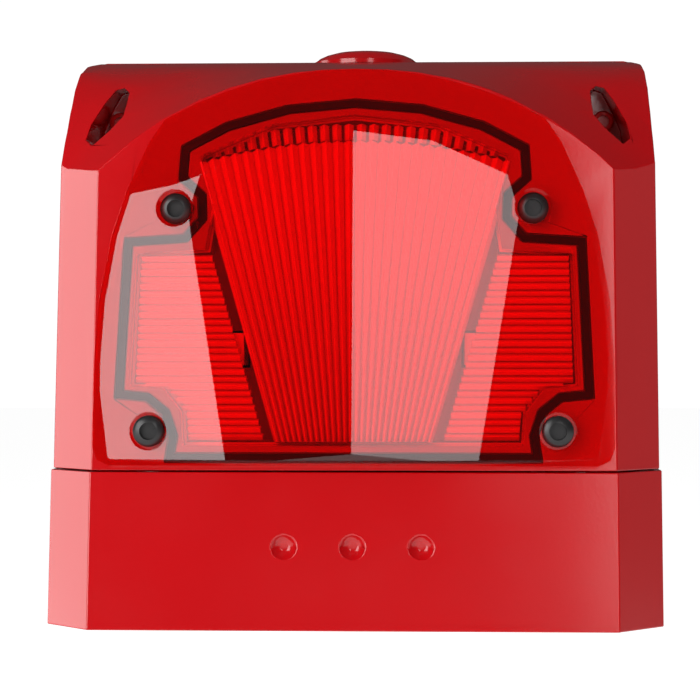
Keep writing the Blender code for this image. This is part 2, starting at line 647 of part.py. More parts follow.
def horn_cover(look):
    back = BASE_DEPTH + GAP / 2
    top = SEAM_HEIGHT - GAP / 2
    cover = housing_block("horn_cover", look, (0, top), -LOWER_PROUD, back)
    combine(cover, "DIFFERENCE", housing_block("inner", look, (WALL, top + 5), WALL - LOWER_PROUD,
                                               back - 5))
    half = BODY_WIDTH / 2 + LOWER_PROUD
    pivot = (0, HINGE_OUT, HINGE_UP)
    combine(cover, "UNION",
            rod("barrel", look, pivot, "x", BARREL_RADIUS, (-half, half), 24),
            box("rib", look, (-half + 1, half - 1), (back, back + 4), (DAM[0] - 1.5, DAM[1])))
    bore = EAR[1] + PIN_OVERLAP + PIN_CLEARANCE
    combine(cover, "DIFFERENCE", rod("bore", look, pivot, "x", PIN_RADIUS + PIN_CLEARANCE,
                                     (-bore, bore), 12))
    for side in (-1, 1):
        slot = sorted((side * (EAR[0] - EAR_CLEARANCE), side * (EAR[1] + EAR_CLEARANCE)))
        combine(cover, "DIFFERENCE",
                box("slot", look, slot, (0, HINGE_OUT + BARREL_RADIUS + 0.6), (-5, DAM[0] - GAP)))
        for x, out in HORN_COVER_SCREWS:
            combine(cover, "UNION", rod("boss", look, (side * x, out, 0), "up", 3.4, (WALL - 1, top), 12))
            combine(cover, "DIFFERENCE",
                    rod("bore", look, (side * x, out, 0), "up", 1.5 + SCREW_CLEARANCE, (24, 60), 12))
        spot = (side * HORN_SCREW, MOUTH_OUT, 0)
        combine(cover, "UNION", rod("boss", look, spot, "up", 3.0, (WALL - 1, 6), 12))
        combine(cover, "DIFFERENCE", rod("bore", look, spot, "up", SMALL_SCREW + SCREW_CLEARANCE,
                                         (2.0, 60), 12))
    wide, deep = MOUTH_HALF
    combine(cover, "DIFFERENCE",
            box("mouth", look, (-wide, wide), (MOUTH_OUT - deep, MOUTH_OUT + deep), (-5, 5)),
            box("step", look, (-wide - 2, wide + 2), (MOUTH_OUT - deep - 2, MOUTH_OUT + deep + 2),
                (1.0, 5)))
    sphere = (DIMPLE_RADIUS ** 2 + DIMPLE_DEPTH ** 2) / (2 * DIMPLE_DEPTH)
    face = front_face(DIMPLE_UP) + LOWER_PROUD
    for step in (-1, 0, 1):
        profile = []
        for share in range(1, 9):
            angle = math.pi * share / 9
            profile.append((face - DIMPLE_DEPTH + sphere - sphere * math.cos(angle),
                            sphere * math.sin(angle)))
        combine(cover, "DIFFERENCE",
                turned("dimple", look, (step * DIMPLE_PITCH, 0, DIMPLE_UP), "out", profile, 16))
    return cover


# Beacon -------------------------------------------------------------------------------------

def beacon_reflector(look):
    outline = offset(mirrored(OPTIC), -REFLECTOR_GROWTH)
    inner = offset(outline, REFLECTOR_WALL)
    front = -WALL - GAP
    back = front - REFLECTOR_DEPTH
    tray = solid("beacon_reflector", look, [on_front(outline, back), on_front(outline, front)])
    for side in (-1, 1):
        x, up = side * REFLECTOR_SCREW[0], REFLECTOR_SCREW[1]
        ear = [(x - 4, up - 4), (x + 4, up - 4), (x + 4, up + 4), (x - 4, up + 4)]
        root = [(side * 45, up - 4), (x, up - 4), (x, up + 4), (side * 45, up + 4)]
        combine(tray, "UNION",
                solid("ear", look, [along_depth(ear, front_face(up) - 8.8),
                                    along_depth(ear, front_face(up) - 7)]),
                solid("root", look, [along_depth(root, front_face(up) - 8.8),
                                     along_depth(root, front_face(up) - 7)]))
        combine(tray, "DIFFERENCE",
                rod("hole", look, (x, 0, up), "out", SMALL_SCREW + SCREW_CLEARANCE, (0, 200), 12))
    combine(tray, "DIFFERENCE",
            solid("hollow", look, [on_front(inner, back + REFLECTOR_WALL), on_front(inner, 5)]))
    for x, up in BEACON_BOARD_SCREWS:
        board_face = front_face(up) - BEACON_BOARD_SETBACK
        combine(tray, "UNION",
                rod("post", look, (x, 0, up), "out", 2.6,
                    (board_face + GAP + 0.3, front_face(up) + back + 3), 12))
        combine(tray, "DIFFERENCE",
                rod("bore", look, (x, 0, up), "out", SMALL_SCREW + SCREW_CLEARANCE,
                    (0, front_face(up) + back + 1.8), 12))
    for side in (-1, 1):
        middle = side * (TUBE_HALF_LENGTH - 3)
        combine(tray, "DIFFERENCE",
                box("slot", look, (middle - 2.6, middle + 2.6), (0, front_face(TUBE_UP) - 8),
                    (TUBE_UP - 4.1, TUBE_UP + 4.1)))
    return tray


def flash_tube(look):
    out = front_face(TUBE_UP) - TUBE_SETBACK
    half = TUBE_HALF_LENGTH
    profile = [(-half, 1.2), (-half + 2, TUBE_RADIUS), (half - 2, TUBE_RADIUS), (half, 1.2)]
    return turned("flash_tube", look, (0, out, TUBE_UP), "x", profile, 16)


def tube_holders(look):
    out = front_face(TUBE_UP) - TUBE_SETBACK
    board_face = front_face(TUBE_UP) - BEACON_BOARD_SETBACK
    for side, name in ((-1, "tube_holder_left"), (1, "tube_holder_right")):
        middle = side * (TUBE_HALF_LENGTH - 3)
        holder = box(name, look, (middle - 2, middle + 2), (board_face + GAP + 0.7, out + 3.6),
                     (TUBE_UP - 3.5, TUBE_UP + 3.5))
        combine(holder, "DIFFERENCE",
                rod("bore", look, (0, out, TUBE_UP), "x", TUBE_RADIUS + PIN_CLEARANCE,
                    (middle - 9, middle + 9)))


def beacon_board(look):
    (left, right), (low, high) = BEACON_BOARD
    outline = [(left, low), (right, low), (right, high), (left, high)]
    board = solid("beacon_board", look, [on_front(outline, -BEACON_BOARD_SETBACK - BOARD_THICKNESS),
                                         on_front(outline, -BEACON_BOARD_SETBACK)])
    for x, up in BEACON_BOARD_SCREWS:
        combine(board, "DIFFERENCE",
                rod("hole", look, (x, 0, up), "out", SMALL_SCREW + SCREW_CLEARANCE, (0, 200), 12))
    return board


def rear_screws(looks):
    """The screws put in from behind, through the beacon's board and through the reflector's ears."""
    head = (SMALL_SCREW_HEAD, 1.6)
    centres = [(x, 0, up) for x, up in BEACON_BOARD_SCREWS]
    seats = [front_face(up) - BEACON_BOARD_SETBACK - BOARD_THICKNESS - 2 * GAP for _, _, up in centres]
    pan_screws("beacon_board_screw", looks["steel"], centres, "out", seats, -5, SMALL_SCREW, head)
    centres = [(side * REFLECTOR_SCREW[0], 0, REFLECTOR_SCREW[1]) for side in (-1, 1)]
    seats = [front_face(up) - 8.8 - GAP for _, _, up in centres]
    pan_screws("reflector_screw", looks["steel"], centres, "out", seats, -6, SMALL_SCREW, head)


def beacon_parts(looks):
    """The capacitor and the trigger transformer behind the beacon board."""
    up = 92.0
    behind = front_face(up) - BEACON_BOARD_SETBACK - BOARD_THICKNESS - 3 * GAP
    turned("storage_capacitor", looks["black"], (0, behind - 5, up), "x",
           [(-13, 4.4), (-12, 5.0), (11, 5.0), (12, 4.4)], 20)
    box("trigger_transformer", looks["amber"], (27, 37), (behind - 9, behind), (up - 12, up - 2))


# Horn and driver ----------------------------------------------------------------------------

def horn_section(up, out, wide, deep, squareness):
    """One closed section of the horn: round at the throat, squarer towards the mouth."""
    points = []
    for step in range(24):
        angle = 2 * math.pi * (step + 0.5) / 24
        across, along = math.cos(angle), math.sin(angle)
        reach = (abs(across) ** squareness + abs(along) ** squareness) ** (-1 / squareness)
        points.append((wide * across * reach, out + deep * along * reach, up))
    return points


def horn_body(look):
    top = DRIVER_FOOT - GAP
    wide, deep = MOUTH_HALF
    middle = [(50.0, 50.5, 9.0, 9.0, 2.0), (36.0, 55.0, 14.0, 11.5, 2.6), (20.0, 63.0, 23.0, 15.5, 4.0)]
    foot = 2.7
    inner = [horn_section(top, DRIVER_OUT, 7.0, 7.0, 2.0)] + [horn_section(*row) for row in middle]
    inner.append(horn_section(foot, MOUTH_OUT, wide - 0.4, deep - 0.4, 8.0))
    outer = [horn_section(foot, MOUTH_OUT, wide + HORN_WALL, deep + HORN_WALL, 8.0)]
    outer.append(horn_section(6.3, MOUTH_OUT, wide + HORN_WALL, deep + HORN_WALL, 8.0))
    outer.append(horn_section(6.3, MOUTH_OUT, *HORN_FLANGE_HALF, 12.0))
    outer.append(horn_section(8.3, MOUTH_OUT, *HORN_FLANGE_HALF, 12.0))
    outer.append(horn_section(8.3, MOUTH_OUT - 0.5, wide + HORN_WALL, deep + HORN_WALL, 7.0))
    for up, out, half_wide, half_deep, squareness in reversed(middle):
        outer.append(horn_section(up, out, half_wide + HORN_WALL, half_deep + HORN_WALL, squareness))
    outer.append(horn_section(top - 2, DRIVER_OUT, 7.0 + HORN_WALL, 7.0 + HORN_WALL, 2.0))
    outer.append(horn_section(top - 2, DRIVER_OUT, DRIVER_FLANGE, DRIVER_FLANGE, 2.0))
    outer.append(horn_section(top, DRIVER_OUT, DRIVER_FLANGE, DRIVER_FLANGE, 2.0))
    horn = solid("horn_body", look, inner + outer, True)
    for x, out in driver_screw_places():
        combine(horn, "DIFFERENCE", rod("hole", look, (x, out, 0), "up", SMALL_SCREW + SCREW_CLEARANCE,
                                        (58, 70), 12))
    for side in (-1, 1):
        combine(horn, "DIFFERENCE",
                rod("hole", look, (side * HORN_SCREW, MOUTH_OUT, 0), "up",
                    SMALL_SCREW + SCREW_CLEARANCE, (5, 12), 12))
    return horn


def driver_screw_places():
    places = []
    for step in range(3):
        angle = 2 * math.pi * step / 3 + math.pi / 6
        places.append((DRIVER_SCREW_CIRCLE * math.cos(angle),
                       DRIVER_OUT + DRIVER_SCREW_CIRCLE * math.sin(angle)))
    return places


def outlet_grille(look):
    wide, deep = MOUTH_HALF
    up = (1.0 + GAP, 2.4)
    rim = 2 - SCREW_CLEARANCE
    plate = box("outlet_grille", look, (-wide - rim, wide + rim),
                (MOUTH_OUT - deep - rim, MOUTH_OUT + deep + rim), up)
    pitch = 2 * wide / (GRILLE_BARS + 1)
    for slot in range(GRILLE_BARS + 1):
        left = -wide + slot * pitch + 0.8
        combine(plate, "DIFFERENCE",
                box("slot", look, (left, left + pitch - 1.6),
                    (MOUTH_OUT - deep + 1, MOUTH_OUT + deep - 1), (-5, 9)))
    return plate


def driver_parts(looks):
    """The compression driver over the horn's throat."""
    axis = (0, DRIVER_OUT, 0)
    low = DRIVER_FOOT
    high = low + DRIVER_HEIGHT
    bore = DRIVER_RADIUS - 1.5
    housing = turned("driver_housing", looks["black"], axis, "up",
                     [(high - 1.6, bore), (low, bore), (low, DRIVER_FLANGE), (low + 2, DRIVER_FLANGE),
                      (low + 2, DRIVER_RADIUS), (high, DRIVER_RADIUS)], 32)
    for x, out in driver_screw_places():
        combine(housing, "DIFFERENCE",
                rod("hole", looks["black"], (x, out, 0), "up", SMALL_SCREW + SCREW_CLEARANCE,
                    (50, low + 9), 12))
    turned("driver_magnet", looks["steel"], axis, "up",
           [(low + 9, 6.4), (low + 16, 6.4), (low + 16, 8.6), (low + 9, 8.6), (low + 9, 13.5),
            (high - 1.6 - GAP, 13.5)], 32)
    coil = turned("voice_coil", looks["copper"], axis, "up",
                  [(low + 5.6, 7.0), (low + 14, 7.0), (low + 14, 8.0), (low + 5.6, 8.0)], 24, True)
    cone = turned("driver_diaphragm", looks["amber"], axis, "up",
                  [(low + 5.3, 6.6), (low + 5.3, 8.0), (low + 3.4, 13.5), (low + 2.6, 13.5),
                   (low + 4.2, 6.6)], 24)
    for moving in (coil, cone):
        move_origin(moving, 0, DRIVER_OUT, low + 4)


# Assembly -----------------------------------------------------------------------------------

def hinge_empty(nodes):
    """Parent the front's nodes to an empty on the hinge axis."""
    pivot = bpy.data.objects.new("cover_pivot", None)
    pivot.location = place(0, HINGE_OUT, HINGE_UP)
    bpy.context.collection.objects.link(pivot)
    bpy.context.view_layer.update()
    for node in nodes:
        node.parent = pivot
        node.matrix_parent_inverse = pivot.matrix_world.inverted()


def main():
    for old in list(bpy.data.objects):
        bpy.data.objects.remove(old)
    looks = {
        "red": material("flame_red_plastic", (0.60, 0.01, 0.012), 0.28),
        "lens": material("red_lens", (0.45, 0.0, 0.01), 0.08),
        "rubber": material("black_rubber", (0.015, 0.015, 0.015), 0.7),
        "black": material("black_plastic", (0.02, 0.02, 0.02), 0.45),
        "black_steel": material("black_steel", (0.03, 0.03, 0.03), 0.35, 0.9),
        "steel": material("plated_steel", (0.55, 0.56, 0.57), 0.3, 1.0),
        "white": material("white_plastic", (0.75, 0.75, 0.72), 0.4),
        "blue": material("blue_plastic", (0.03, 0.12, 0.45), 0.45),
        "green": material("green_board", (0.02, 0.2, 0.07), 0.5),
        "amber": material("amber_film", (0.55, 0.25, 0.05), 0.35),
        "copper": material("copper_wire", (0.75, 0.33, 0.18), 0.35, 1.0),
        "glass": material("clear_glass", (0.8, 0.82, 0.82), 0.05),
    }
    base_shell(looks["red"])
    housing_seal(looks["rubber"])
    hinge_pin(looks["steel"])
    blanking_plug(looks["red"])
    plug_seal(looks["rubber"])
    main_board(looks["green"])
    board_seats = [BOARD_FACE + BOARD_THICKNESS + GAP] * len(BOARD_SCREWS)
    board_places = [(x, 0, up) for x, up in BOARD_SCREWS]
    pan_screws("board_screw", looks["steel"], board_places, "out", board_seats, 8, SMALL_SCREW,
               (SMALL_SCREW_HEAD, 1.6))
    board_parts(looks)
    base_nodes = set(bpy.data.objects)

    front_hood(looks["red"])
    horn_cover(looks["red"])
    lens(looks["lens"])
    lens_gasket(looks["rubber"])
    lens_screws(looks["black_steel"])
    cover_screw("cover_screw_left", looks["red"], -1)
    cover_screw("cover_screw_right", looks["red"], 1)
    cover_places = [(side * x, out, 0) for side in (-1, 1) for x, out in HORN_COVER_SCREWS]
    lip_tops = [SEAM_HEIGHT + GAP / 2 + WALL + GAP] * len(cover_places)
    pan_screws("horn_cover_screw", looks["steel"], cover_places, "up", lip_tops, 11, 1.5, (2.9, 2.2))
    beacon_reflector(looks["white"])
    rear_screws(looks)
    flash_tube(looks["glass"])
    tube_holders(looks["white"])
    beacon_board(looks["green"])
    beacon_parts(looks)
    horn_body(looks["black"])
    horn_places = [(side * HORN_SCREW, MOUTH_OUT, 0) for side in (-1, 1)]
    pan_screws("horn_screw", looks["steel"], horn_places, "up", [8.3 + GAP] * 2, 5.5, SMALL_SCREW,
               (2.2, 1.6))
    outlet_grille(looks["black"])
    driver_parts(looks)
    driver_places = [(x, out, 0) for x, out in driver_screw_places()]
    pan_screws("driver_screw", looks["steel"], driver_places, "up", [DRIVER_FOOT + 2 + GAP] * 3, 5,
               SMALL_SCREW,
               (1.8, 1.4))
    hinge_empty(set(bpy.data.objects) - base_nodes)


main()
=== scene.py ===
# %% [markdown]
# # A wall-mounted alarm siren with a flashing beacon
#
# The siren is a moulded red housing. A clear red lens covers the flash beacon, a horn points down
# behind the lower section, and the whole front swings down on a pin so that the wiring can be
# reached. The CAD model is loaded first, as a fixed frame: every piece below takes its place from
# it.

# %% Load the frame
import json
import math

import bpy
from mathutils import Matrix, Vector

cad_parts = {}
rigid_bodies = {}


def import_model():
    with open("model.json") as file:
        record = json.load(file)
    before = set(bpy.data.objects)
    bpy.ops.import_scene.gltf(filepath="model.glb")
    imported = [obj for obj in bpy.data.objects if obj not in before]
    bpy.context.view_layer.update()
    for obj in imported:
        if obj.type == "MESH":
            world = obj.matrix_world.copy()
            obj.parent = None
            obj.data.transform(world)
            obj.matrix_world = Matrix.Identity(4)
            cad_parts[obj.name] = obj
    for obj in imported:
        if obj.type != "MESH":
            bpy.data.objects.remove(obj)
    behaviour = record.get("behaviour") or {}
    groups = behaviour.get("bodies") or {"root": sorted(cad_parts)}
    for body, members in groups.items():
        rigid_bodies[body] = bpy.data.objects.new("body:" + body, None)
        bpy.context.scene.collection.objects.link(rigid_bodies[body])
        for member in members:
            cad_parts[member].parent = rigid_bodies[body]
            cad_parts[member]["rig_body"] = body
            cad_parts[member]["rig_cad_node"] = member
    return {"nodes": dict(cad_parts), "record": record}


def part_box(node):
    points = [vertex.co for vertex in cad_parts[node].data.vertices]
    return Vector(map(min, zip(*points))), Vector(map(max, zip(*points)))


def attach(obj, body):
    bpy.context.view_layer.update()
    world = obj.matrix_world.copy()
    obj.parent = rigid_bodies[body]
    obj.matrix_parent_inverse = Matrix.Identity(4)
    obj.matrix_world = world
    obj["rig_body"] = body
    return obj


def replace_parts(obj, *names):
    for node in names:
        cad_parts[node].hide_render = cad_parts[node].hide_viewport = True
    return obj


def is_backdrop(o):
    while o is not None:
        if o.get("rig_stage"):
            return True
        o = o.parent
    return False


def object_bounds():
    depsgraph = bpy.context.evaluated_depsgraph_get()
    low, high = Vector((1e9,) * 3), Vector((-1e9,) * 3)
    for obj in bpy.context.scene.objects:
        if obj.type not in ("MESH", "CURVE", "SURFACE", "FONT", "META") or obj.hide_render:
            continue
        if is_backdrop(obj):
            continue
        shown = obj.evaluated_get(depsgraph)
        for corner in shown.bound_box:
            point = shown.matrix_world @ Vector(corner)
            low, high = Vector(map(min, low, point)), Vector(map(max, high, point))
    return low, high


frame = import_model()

cad_low, cad_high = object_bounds()
print("CAD box in mm:", [round((high - low) * 1000, 1) for low, high in zip(cad_low, cad_high)])

# %% [markdown]
# ## Places on the body
#
# The maker's drawing measures in millimetres: across from the middle, out from the wall and up
# from the bottom edge. Blender measures in metres from the centre of the wall face. One function
# turns the first into the second, so that every number below can be read as a drawing's dimension.
# The front face leans back, so the lens and everything behind it is drawn flat and then laid on
# it.

# %% Places and the leaning face
MM = 0.001
BODY_HEIGHT = 130.0
FRONT_DEPTH = 104.0
LEAN = 0.149


def place(x, out, up):
    return Vector((x, -out, up - BODY_HEIGHT / 2)) * MM


def along_face(up):
    """Distance up the leaning face, for a height above the bottom edge."""
    return up * math.hypot(1, LEAN)


upwards = Vector((0, LEAN, 1)).normalized()
outwards = Vector((0, -1, LEAN)).normalized()
LEANING = Matrix.Translation(place(0, FRONT_DEPTH, 0)) @ Matrix((
    (1, upwards.x, outwards.x, 0), (0, upwards.y, outwards.y, 0), (0, upwards.z, outwards.z, 0),
    (0, 0, 0, 1)))
FACING_OUT = Matrix.Rotation(math.radians(90), 4, "X")
print("The face leans back", round(math.degrees(math.atan(LEAN)), 1), "degrees")

# %% [markdown]
# ## Camera
#
# The siren is seen level with its middle, from half a metre in front and a little to the right.
# A long lens keeps the sides nearly parallel, as a catalogue picture of a product does.

# %% Camera
CAMERA_PLACE = (0.020, -0.6036, -0.0052)
CAMERA_TURN = 2.34
camera_data = bpy.data.cameras.new("product_camera")
camera_data.lens = 121.0
camera_data.sensor_width = 36.0
camera_data.clip_start, camera_data.clip_end = 0.01, 50.0
camera = bpy.data.objects.new("product_camera", camera_data)
camera.location = CAMERA_PLACE
camera.rotation_euler = (math.radians(90), 0, math.radians(CAMERA_TURN))
bpy.context.scene.collection.objects.link(camera)
bpy.context.scene.camera = camera
print("Camera at", CAMERA_PLACE)

# %% [markdown]
# ## Floor and light
#
# A plain white floor fades into a white surround. It lies 100 mm below the siren, which hangs on a
# wall and needs that room to swing its front down. Only the camera sees the surround at full
# strength: the siren is lit by it weakly, so that the lamps shape it.

# %% Floor and surround
def deselect():
    if bpy.context.object and bpy.context.object.mode != "OBJECT":
        bpy.ops.object.mode_set(mode="OBJECT")
    bpy.ops.object.select_all(action="DESELECT")


def activate(piece):
    deselect()
    piece.select_set(True)
    bpy.context.view_layer.objects.active = piece


FLOOR_DROP = 0.1
FLOOR_RADIUS = 6.0
FLOOR_WHITE = 0.55
FLOOR_GLOW = 0.95
SURROUND_ON_PIECES = 0.05
SURROUND_SEEN = 1.05
deselect()
bpy.ops.mesh.primitive_circle_add(vertices=96, radius=FLOOR_RADIUS, fill_type="NGON",
                                  location=(0, 0, cad_low.z - FLOOR_DROP))
floor = bpy.context.object
floor.name = "studio_floor"
floor_look = bpy.data.materials.new("floor_paper")
floor_look.use_nodes = True
paper = floor_look.node_tree.nodes["Principled BSDF"]
paper.inputs["Base Color"].default_value = (FLOOR_WHITE, FLOOR_WHITE, FLOOR_WHITE, 1)
paper.inputs["Roughness"].default_value = 0.9
paper.inputs["Emission Color"].default_value = (1, 1, 1, 1)
paper.inputs["Emission Strength"].default_value = FLOOR_GLOW
floor.data.materials.append(floor_look)
floor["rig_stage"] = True

world = bpy.data.worlds.new("studio")
world.use_nodes = True
bpy.context.scene.world = world
surround = world.node_tree.nodes["Background"]
seen = world.node_tree.nodes.new("ShaderNodeLightPath")
brightness = world.node_tree.nodes.new("ShaderNodeMapRange")
brightness.inputs["To Min"].default_value = SURROUND_ON_PIECES
brightness.inputs["To Max"].default_value = SURROUND_SEEN
world.node_tree.links.new(seen.outputs["Is Camera Ray"], brightness.inputs["Value"])
world.node_tree.links.new(brightness.outputs["Result"], surround.inputs["Strength"])
surround.inputs["Color"].default_value = (1, 1, 1, 1)
bpy.context.scene.view_settings.view_transform = "Standard"
print("Floor", round(floor.location.z / MM, 1), "mm from the middle of the siren")

# %% [markdown]
# ## Lamps
#
# The light is that of a small product studio. One broad soft lamp above gives the body its shading
# and leaves the lower section darker under the lens. Two smaller ones in front are there to be
# mirrored by the lens facets, and one on each side is mirrored by the chamfers. A lamp's strength
# is worked out from how bright its face should look, so its size can change without a new setting.

# %% Lamps
LIT_POINT = Vector((0, -0.09, 0))


def lamp(name, azimuth, elevation, distance, size, brightness, mirrored=True):
    """A soft rectangular lamp that faces the siren. Azimuth 0 is in front and 90 to the right."""
    a, e = math.radians(azimuth), math.radians(elevation)
    towards = Vector((math.sin(a) * math.cos(e), -math.cos(a) * math.cos(e), math.sin(e)))
    data = bpy.data.lights.new(name, "AREA")
    data.shape = "RECTANGLE"
    data.size, data.size_y = size
    data.energy = brightness * math.pi * size[0] * size[1]
    made = bpy.data.objects.new(name, data)
    made.location = LIT_POINT + towards * distance
    made.rotation_mode = "QUATERNION"
    made.rotation_quaternion = (-towards).to_track_quat("-Z", "Y")
    made.visible_glossy = mirrored
    bpy.context.scene.collection.objects.link(made)


lamp("top_lamp", 0, 66, 1.2, (1.3, 0.9), 1.9, mirrored=False)
lamp("left_lamp", -104, 10, 1.1, (0.40, 0.8), 3.6)
lamp("right_lamp", 106, 4, 1.1, (0.7, 0.9), 0.25)
lamp("lens_lamp_left", -40, 14, 1.2, (0.72, 0.8), 6.0)
lamp("lens_lamp_right", 12.2, 16, 1.2, (0.21, 0.50), 4.2)
lamp("front_fill", 2, 1, 1.6, (0.5, 0.5), 1.3, mirrored=False)

# %% [markdown]
# ## Writing a finish as a sum
#
# A finish is worked out from a few patterns: fine grain in the mould, a slow drift of colour,
# marks of handling. Wiring that by hand takes many Math nodes. A small class wraps a socket
# instead and turns + and * into the nodes, so a finish reads as the sum that it is.

# %% Socket arithmetic
class Amount:
    """A number that changes over a surface."""

    def __init__(self, finish, socket):
        self.finish, self.socket = finish, socket

    def _worked(self, operation, *values):
        node = self.finish.add("ShaderNodeMath", {"operation": operation}, dict(enumerate(values)))
        return Amount(self.finish, node.outputs[0])

    def __add__(self, other):
        return self._worked("ADD", self, other)

    __radd__ = __add__

    def __mul__(self, other):
        return self._worked("MULTIPLY", self, other)

    __rmul__ = __mul__

    def power(self, exponent):
        return self._worked("POWER", self, exponent)

    def clipped(self, low, high):
        """0 up to low, 1 from high, and a smooth step between."""
        node = self.finish.add("ShaderNodeMapRange", {"interpolation_type": "SMOOTHSTEP"},
                               {"Value": self, "From Min": low, "From Max": high})
        return Amount(self.finish, node.outputs["Result"])


class Finish:
    """One material. Its patterns are in metres on the piece itself."""

    def __init__(self, name, **constants):
        self.look = bpy.data.materials.new(name)
        self.look.use_nodes = True
        self.tree = self.look.node_tree
        self.shader = self.tree.nodes["Principled BSDF"]
        for socket, value in constants.items():
            self.shader.inputs[socket.replace("_", " ")].default_value = value
        self.spot = Amount(self, self.add("ShaderNodeTexCoord").outputs["Object"])

    def add(self, kind, settings=None, inputs=None):
        node = self.tree.nodes.new(kind)
        for name, value in (settings or {}).items():
            setattr(node, name, value)
        for name, value in (inputs or {}).items():
            self.feed(node.inputs[name], value)
        return node

    def feed(self, socket, value):
        if isinstance(value, Amount):
            self.tree.links.new(value.socket, socket)
        else:
            socket.default_value = value

    def spot_on_board(self):
        """The board's face as a flat drawing: across and up."""
        node = self.add("ShaderNodeMapping", None,
                        {"Vector": self.spot, "Rotation": (math.radians(-90), 0, 0)})
        return Amount(self, node.outputs["Vector"])

    def noise(self, size, detail=2.0):
        """Cloudy pattern whose blots are about a size in metres across."""
        node = self.add("ShaderNodeTexNoise", None,
                        {"Vector": self.spot, "Scale": 1 / size, "Detail": detail})
        return Amount(self, node.outputs["Fac"])

    def colour(self, amount, first, second):
        node = self.add("ShaderNodeMix", {"data_type": "RGBA"},
                        {"Factor": amount, 6: (*first, 1), 7: (*second, 1)})
        self.feed(self.shader.inputs["Base Color"], Amount(self, node.outputs[2]))

    def roughness(self, amount):
        self.feed(self.shader.inputs["Roughness"], amount)

    def bump(self, height, depth):
        """Fine relief: a height from 0 to 1, and how deep that is in metres."""
        node = self.add("ShaderNodeBump", None,
                        {"Height": height, "Strength": 1.0, "Distance": depth})
        self.feed(self.shader.inputs["Normal"], Amount(self, node.outputs["Normal"]))


GRAIN_SHARE = 0.55
SMEAR_SIZE = 0.6
SMEAR_EDGES = (0.35, 0.75)


def worked_finish(name, first, second, rough, grain, depth, drift=0.03, **constants):
    """A finish with two close colours that drift, a roughness range and a grain."""
    finish = Finish(name, **constants)
    finish.colour(finish.noise(drift, 3.0), first, second)
    fine = finish.noise(grain, 3.0)
    smear = finish.noise(drift * SMEAR_SIZE, 4.0).clipped(*SMEAR_EDGES)
    wear = GRAIN_SHARE * fine + (1 - GRAIN_SHARE) * smear
    finish.roughness(rough[0] + (rough[1] - rough[0]) * wear)
    finish.bump(fine, depth)
    return finish.look


print("Socket arithmetic ready")

# %% [markdown]
# ## Finishes
#
# The housing is flame red ABS: glossy but not polished, with the faint texture that a spark-eroded
# mould leaves. Its red drifts by a few percent where the melt flowed. The inside hardware is
# nickel or zinc plated and the reflector is white. Each finish below is two close colours, the
# range of its roughness, and the size and depth of its grain in metres.

# %% Finishes of the housing and the hardware
RED = worked_finish("flame_red_abs", (0.405, 0.0020, 0.0040), (0.445, 0.0030, 0.0054), (0.11, 0.21),
                    0.0007, 0.000008, 0.045)
RED_SCREW = worked_finish("red_lacquered_screw", (0.52, 0.004, 0.006), (0.58, 0.006, 0.008),
                          (0.28, 0.42), 0.0005, 0.00001)
RUBBER = worked_finish("black_rubber_seal", (0.006, 0.005, 0.005), (0.016, 0.013, 0.013),
                       (0.55, 0.75), 0.0004, 0.00003)
STEEL = worked_finish("zinc_plated_steel", (0.52, 0.53, 0.55), (0.64, 0.64, 0.62), (0.22, 0.42),
                      0.0006, 0.000006, 0.004, Metallic=1.0)
BLACK_STEEL = worked_finish("blackened_steel_screw", (0.010, 0.010, 0.011), (0.030, 0.028, 0.028),
                            (0.24, 0.40), 0.0004, 0.000006, 0.003, Metallic=0.35)
BLACK = worked_finish("black_nylon", (0.012, 0.012, 0.013), (0.024, 0.024, 0.025), (0.38, 0.55),
                      0.0005, 0.000015)
WHITE = worked_finish("white_nylon", (0.70, 0.69, 0.65), (0.78, 0.77, 0.73), (0.34, 0.48),
                      0.0005, 0.00001)
REFLECTOR = worked_finish("reflector_white", (0.80, 0.80, 0.79), (0.88, 0.88, 0.87), (0.14, 0.26),
                          0.0012, 0.00001)
GREEN = worked_finish("green_terminal", (0.02, 0.24, 0.06), (0.03, 0.30, 0.08), (0.35, 0.5),
                      0.0006, 0.00001)
BLUE = worked_finish("blue_switch_body", (0.012, 0.06, 0.30), (0.02, 0.08, 0.38), (0.3, 0.45),
                     0.0006, 0.00001)
FILM = worked_finish("amber_film", (0.45, 0.20, 0.03), (0.60, 0.30, 0.06), (0.2, 0.35),
                     0.0008, 0.00001)
print("Plain finishes made")

# %% [markdown]
# ## Circuit board and coil
#
# A circuit board shows its copper tracks as paler lines under the green resist, and a coil shows
# its turns. Both are lines at an even pitch, so a brick pattern's joints make the tracks and a
# banded wave makes the turns. They are far too fine to model, and each also raises the surface a
# little.

# %% Circuit board and coil
def board_finish():
    finish = Finish("green_circuit_board", Specular_IOR_Level=0.6)
    tracks = finish.add("ShaderNodeTexBrick", {"offset": 0.37, "squash": 0.6},
                        {"Vector": finish.spot_on_board(), "Scale": 55.0, "Mortar Size": 0.014})
    track = Amount(finish, tracks.outputs["Fac"])
    drift = finish.noise(0.012, 3.0)
    finish.colour(0.55 * track + 0.18 * drift, (0.008, 0.085, 0.030), (0.03, 0.22, 0.075))
    finish.roughness(0.28 + 0.18 * drift)
    finish.bump(track, 0.00003)
    return finish.look


def coil_finish():
    finish = Finish("enamelled_copper", Metallic=1.0)
    turns = finish.add("ShaderNodeTexWave", {"wave_type": "BANDS", "bands_direction": "Z"},
                       {"Vector": finish.spot, "Scale": 900.0, "Distortion": 0.0})
    turn = Amount(finish, turns.outputs["Fac"])
    finish.colour(turn, (0.42, 0.12, 0.04), (0.80, 0.36, 0.17))
    finish.roughness(0.25 + 0.2 * finish.noise(0.001))
    finish.bump(turn, 0.0001)
    return finish.look


BOARD = board_finish()
COPPER = coil_finish()
print("Board and coil finishes made")

